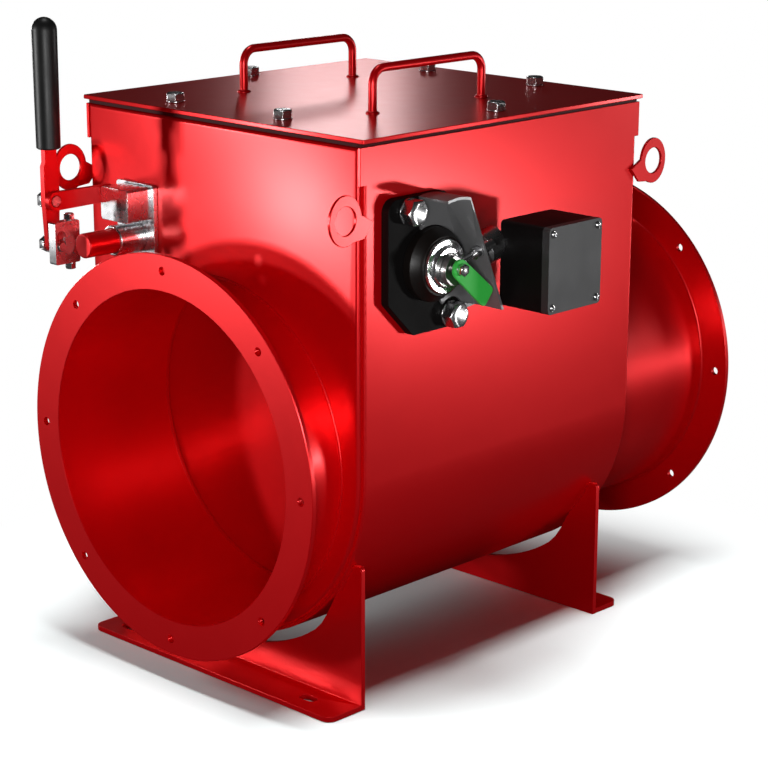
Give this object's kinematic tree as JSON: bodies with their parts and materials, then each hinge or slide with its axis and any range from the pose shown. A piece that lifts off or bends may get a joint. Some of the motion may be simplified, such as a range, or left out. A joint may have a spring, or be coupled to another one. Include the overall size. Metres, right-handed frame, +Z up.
{
  "type": "non-return valve",
  "caption": "Steel casing between two flanged round duct stubs, with a hinged flap inside, a position switch with a flag on one side and a hand lever latch in front.",
  "frame": {"origin": "on the floor under the middle of the whole outline", "axes": "+Z up, +Y along the duct in the direction of flow (inlet flange faces -Y), +X to the side that carries the position switch"},
  "size_m": [0.4978, 0.6458, 0.6185],
  "materials": {
    "red_paint": "gloss signal-red paint",
    "flap_paint": "satin red paint",
    "black_paint": "black paint, semi-gloss",
    "grip_plastic": "soft matt black",
    "cover_grey": "dark grey, fine grain",
    "seal_rubber": "matt",
    "zinc_plate": "zinc plated",
    "bright_steel": "bright plated",
    "plain_steel": "ground steel",
    "green_paint": "signal green paint"
  },
  "bodies": {
    "casing": {"bearing_bolt_left_lower": "bright_steel", "bearing_bolt_left_upper": "bright_steel", "bearing_bolt_right_lower": "bright_steel", "bearing_bolt_right_upper": "bright_steel", "bearing_housing_left": "black_paint", "bearing_housing_right": "black_paint", "bearing_plate_left": "black_paint", "bearing_plate_right": "black_paint", "casing_shell": "red_paint", "cover_screw_front_high": "bright_steel", "cover_screw_front_low": "bright_steel", "cover_screw_rear_high": "bright_steel", "cover_screw_rear_low": "bright_steel", "front_leg": "red_paint", "front_plate": "red_paint", "inlet_flange": "red_paint", "inlet_tube": "red_paint", "latch_arm": "red_paint", "latch_body": "zinc_plate", "latch_sleeve": "bright_steel", "lid": "red_paint", "lid_bolt_front_left": "bright_steel", "lid_bolt_front_right": "bright_steel", "lid_bolt_left": "bright_steel", "lid_bolt_rear_left": "bright_steel", "lid_bolt_rear_right": "bright_steel", "lid_bolt_right": "bright_steel", "lid_frame": "red_paint", "lid_gasket": "seal_rubber", "lid_handle_left": "red_paint", "lid_handle_right": "red_paint", "lifting_lug_front_left": "red_paint", "lifting_lug_front_right": "red_paint", "lifting_lug_rear_left": "red_paint", "lifting_lug_rear_right": "red_paint", "outlet_flange": "red_paint", "outlet_tube": "red_paint", "rear_leg": "red_paint", "rear_plate": "red_paint", "switch_box": "black_paint", "switch_bracket": "black_paint", "switch_cover": "cover_grey", "switch_head": "bright_steel"},
    "flap": {"flap_shaft": "plain_steel", "shaft_collar": "bright_steel", "trip_cam": "plain_steel", "position_flag": "green_paint", "flag_screw": "bright_steel", "flap_seal": "seal_rubber", "flap_disc": "flap_paint", "flap_arm_left": "flap_paint", "flap_arm_right": "flap_paint"},
    "switch_rod": {"switch_rod": "bright_steel"},
    "latch_lever": {"latch_lever": "red_paint", "latch_grip": "grip_plastic", "latch_pivot_bolt": "bright_steel", "latch_pin": "bright_steel"},
    "latch_plunger": {"latch_plunger": "red_paint", "latch_clevis": "bright_steel"}
  },
  "joints": [
    {"name": "flap_swing", "type": "hinge", "parent": "casing", "child": "flap", "pos_m": [-0.03275, -0.1481, 0.415], "axis": [1, 0, 0], "range_deg": [0, 65]},
    {"name": "rod_push", "type": "slide", "parent": "casing", "child": "switch_rod", "axis": [0, 0.9659, 0.2588], "range_m": [0, 0.005]},
    {"name": "lever_swing", "type": "hinge", "parent": "casing", "child": "latch_lever", "pos_m": [-0.16775, -0.3111, 0.449], "axis": [1, 0, 0], "range_deg": [0, 40]},
    {"name": "plunger_slide", "type": "slide", "parent": "casing", "child": "latch_plunger", "axis": [0, 1, 0], "range_m": [0, 0.0276]}
  ],
  "couplings": [
    {"joint": "rod_push", "follows": "flap_swing", "m_per_rad": 0.004407},
    {"joint": "plunger_slide", "follows": "lever_swing", "m_per_rad": 0.0395}
  ]
}
